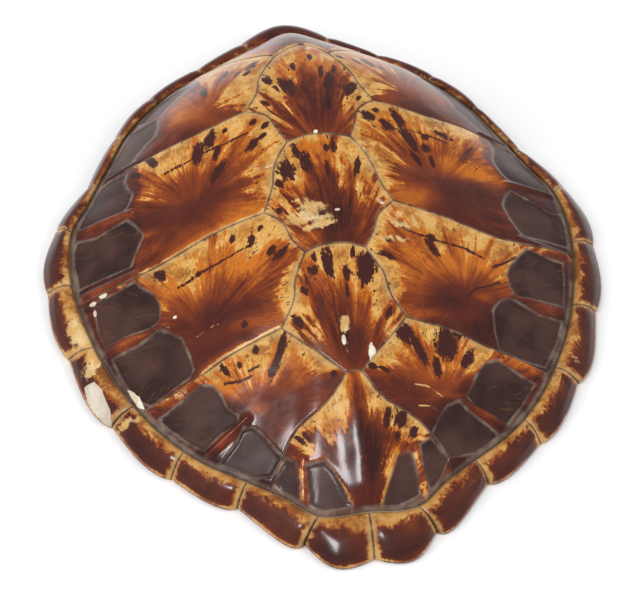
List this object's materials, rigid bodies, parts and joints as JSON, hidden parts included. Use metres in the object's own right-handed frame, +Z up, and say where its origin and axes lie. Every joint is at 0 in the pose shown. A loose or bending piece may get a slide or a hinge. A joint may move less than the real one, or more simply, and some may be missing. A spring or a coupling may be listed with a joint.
{
  "type": "tortoise shell",
  "caption": "Dried, polished sea turtle carapace: a low dome of bone with open windows between the rib ends, covered by amber and brown horn scutes.",
  "frame": {"origin": "under the middle of the shell, on the flat surface its rim rests on", "axes": "+Z up out of the top of the dome, +Y towards the head end, +X to the animal's right side"},
  "size_m": [0.3678, 0.4391, 0.085],
  "materials": {
    "bone": "dry porous bone; matte_plastic stands in for it",
    "scute_horn": "polished translucent horn in amber and brown; gloss_plastic stands in for it",
    "rim_horn": "polished dark brown horn with amber inner edges; gloss_plastic stands in for it"
  },
  "bodies": {
    "root": {"bone_carapace": "bone", "vertebral_1": "scute_horn", "vertebral_2": "scute_horn", "vertebral_3": "scute_horn", "vertebral_4": "scute_horn", "vertebral_5": "scute_horn", "costal_1_left": "scute_horn", "costal_2_left": "scute_horn", "costal_3_left": "scute_horn", "costal_4_left": "scute_horn", "costal_1_right": "scute_horn", "costal_2_right": "scute_horn", "costal_3_right": "scute_horn", "costal_4_right": "scute_horn", "supracaudal_left": "rim_horn", "marginal_11_left": "rim_horn", "marginal_10_left": "rim_horn", "marginal_9_left": "rim_horn", "marginal_8_left": "rim_horn", "marginal_7_left": "rim_horn", "marginal_6_left": "rim_horn", "marginal_5_left": "rim_horn", "marginal_4_left": "rim_horn", "marginal_3_left": "rim_horn", "marginal_2_left": "rim_horn", "marginal_1_left": "rim_horn", "supracaudal_right": "rim_horn", "marginal_11_right": "rim_horn", "marginal_10_right": "rim_horn", "marginal_9_right": "rim_horn", "marginal_8_right": "rim_horn", "marginal_7_right": "rim_horn", "marginal_6_right": "rim_horn", "marginal_5_right": "rim_horn", "marginal_4_right": "rim_horn", "marginal_3_right": "rim_horn", "marginal_2_right": "rim_horn", "marginal_1_right": "rim_horn", "nuchal": "rim_horn"}
  },
  "joints": []
}
